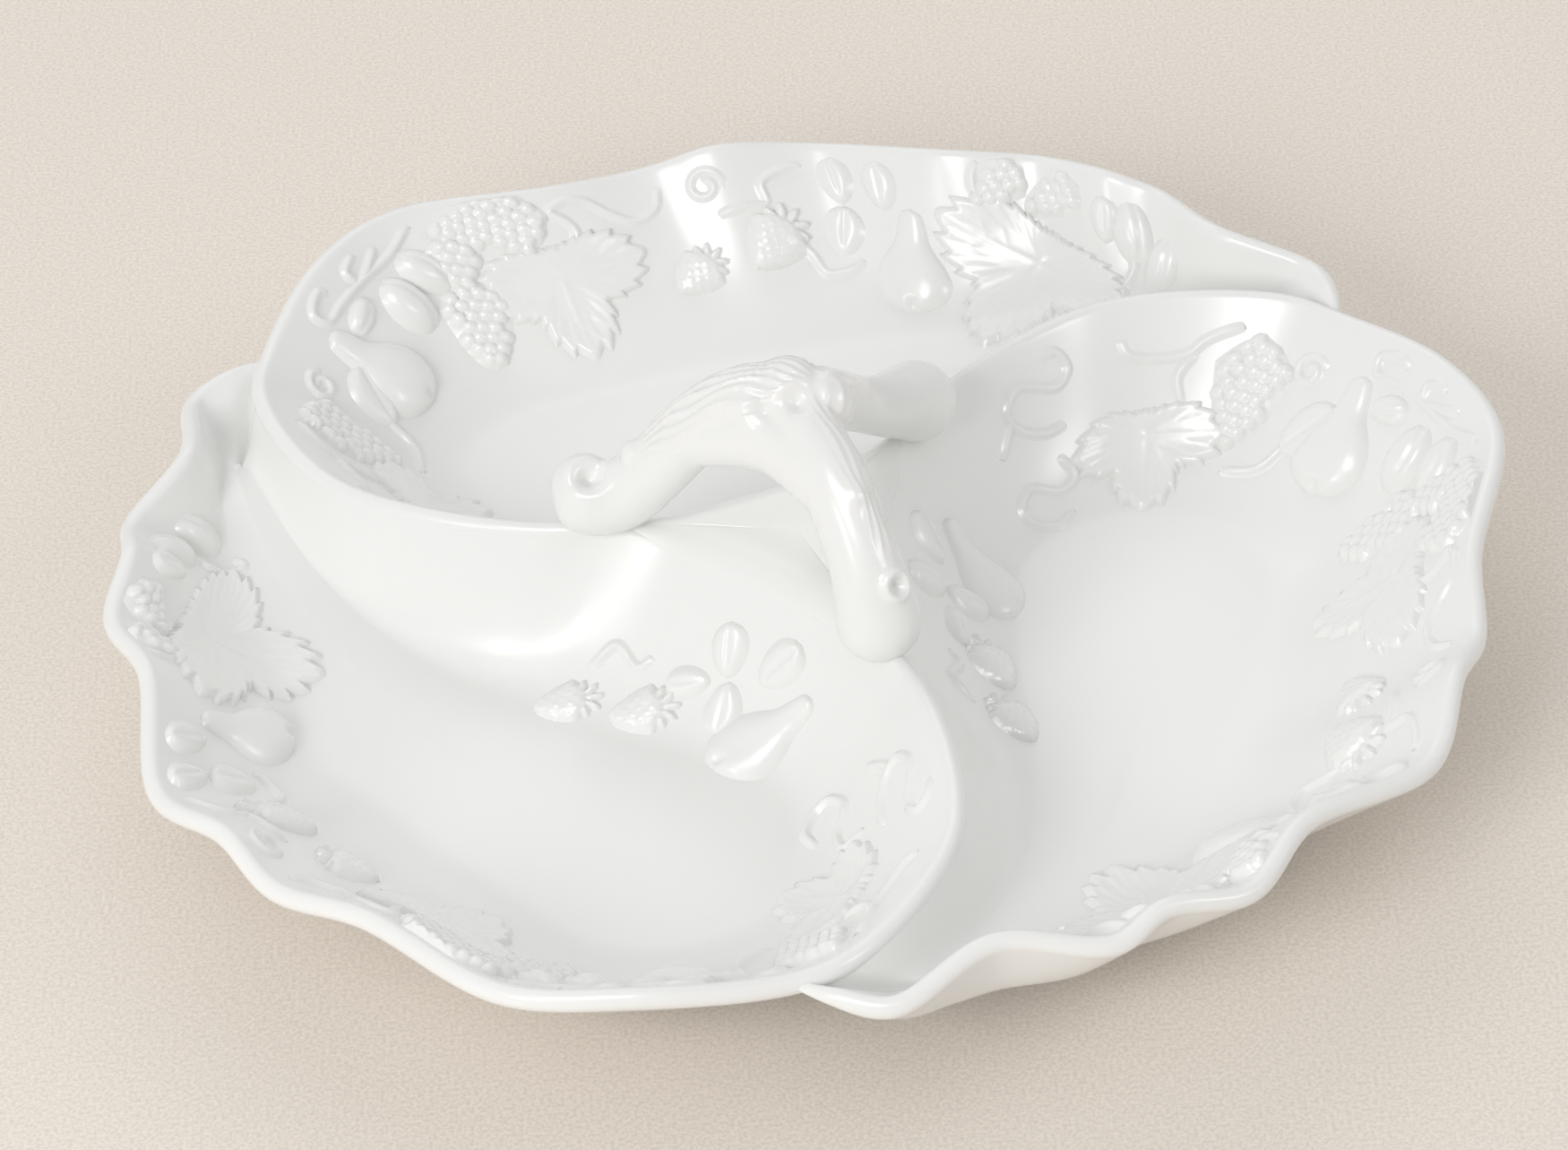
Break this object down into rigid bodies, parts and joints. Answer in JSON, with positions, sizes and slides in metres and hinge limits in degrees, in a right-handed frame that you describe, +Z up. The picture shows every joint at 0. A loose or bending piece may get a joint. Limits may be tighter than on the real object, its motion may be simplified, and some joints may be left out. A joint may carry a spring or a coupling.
{
  "type": "divided serving bowl",
  "caption": "Round white porcelain serving dish: ruffled bowls with moulded fruit and vine relief nest in a pinwheel round a web, under a forked branch-shaped carrying handle.",
  "frame": {"origin": "on the table under the middle of the dish's box", "axes": "+Z up along the dish's axis, -Y towards the viewer of the picture, +X to the viewer's right"},
  "size_m": [0.3376, 0.3356, 0.0898],
  "materials": {
    "front_glaze": "white porcelain under clear glossy glaze",
    "right_glaze": "white porcelain under clear glossy glaze",
    "back_glaze": "white porcelain under clear glossy glaze",
    "web_glaze": "white porcelain under clear glossy glaze",
    "handle_glaze": "white porcelain under clear glossy glaze"
  },
  "bodies": {
    "root": {"front_bowl": "front_glaze", "right_bowl": "right_glaze", "back_bowl": "back_glaze", "centre_web": "web_glaze", "branch_handle": "handle_glaze"}
  },
  "joints": []
}
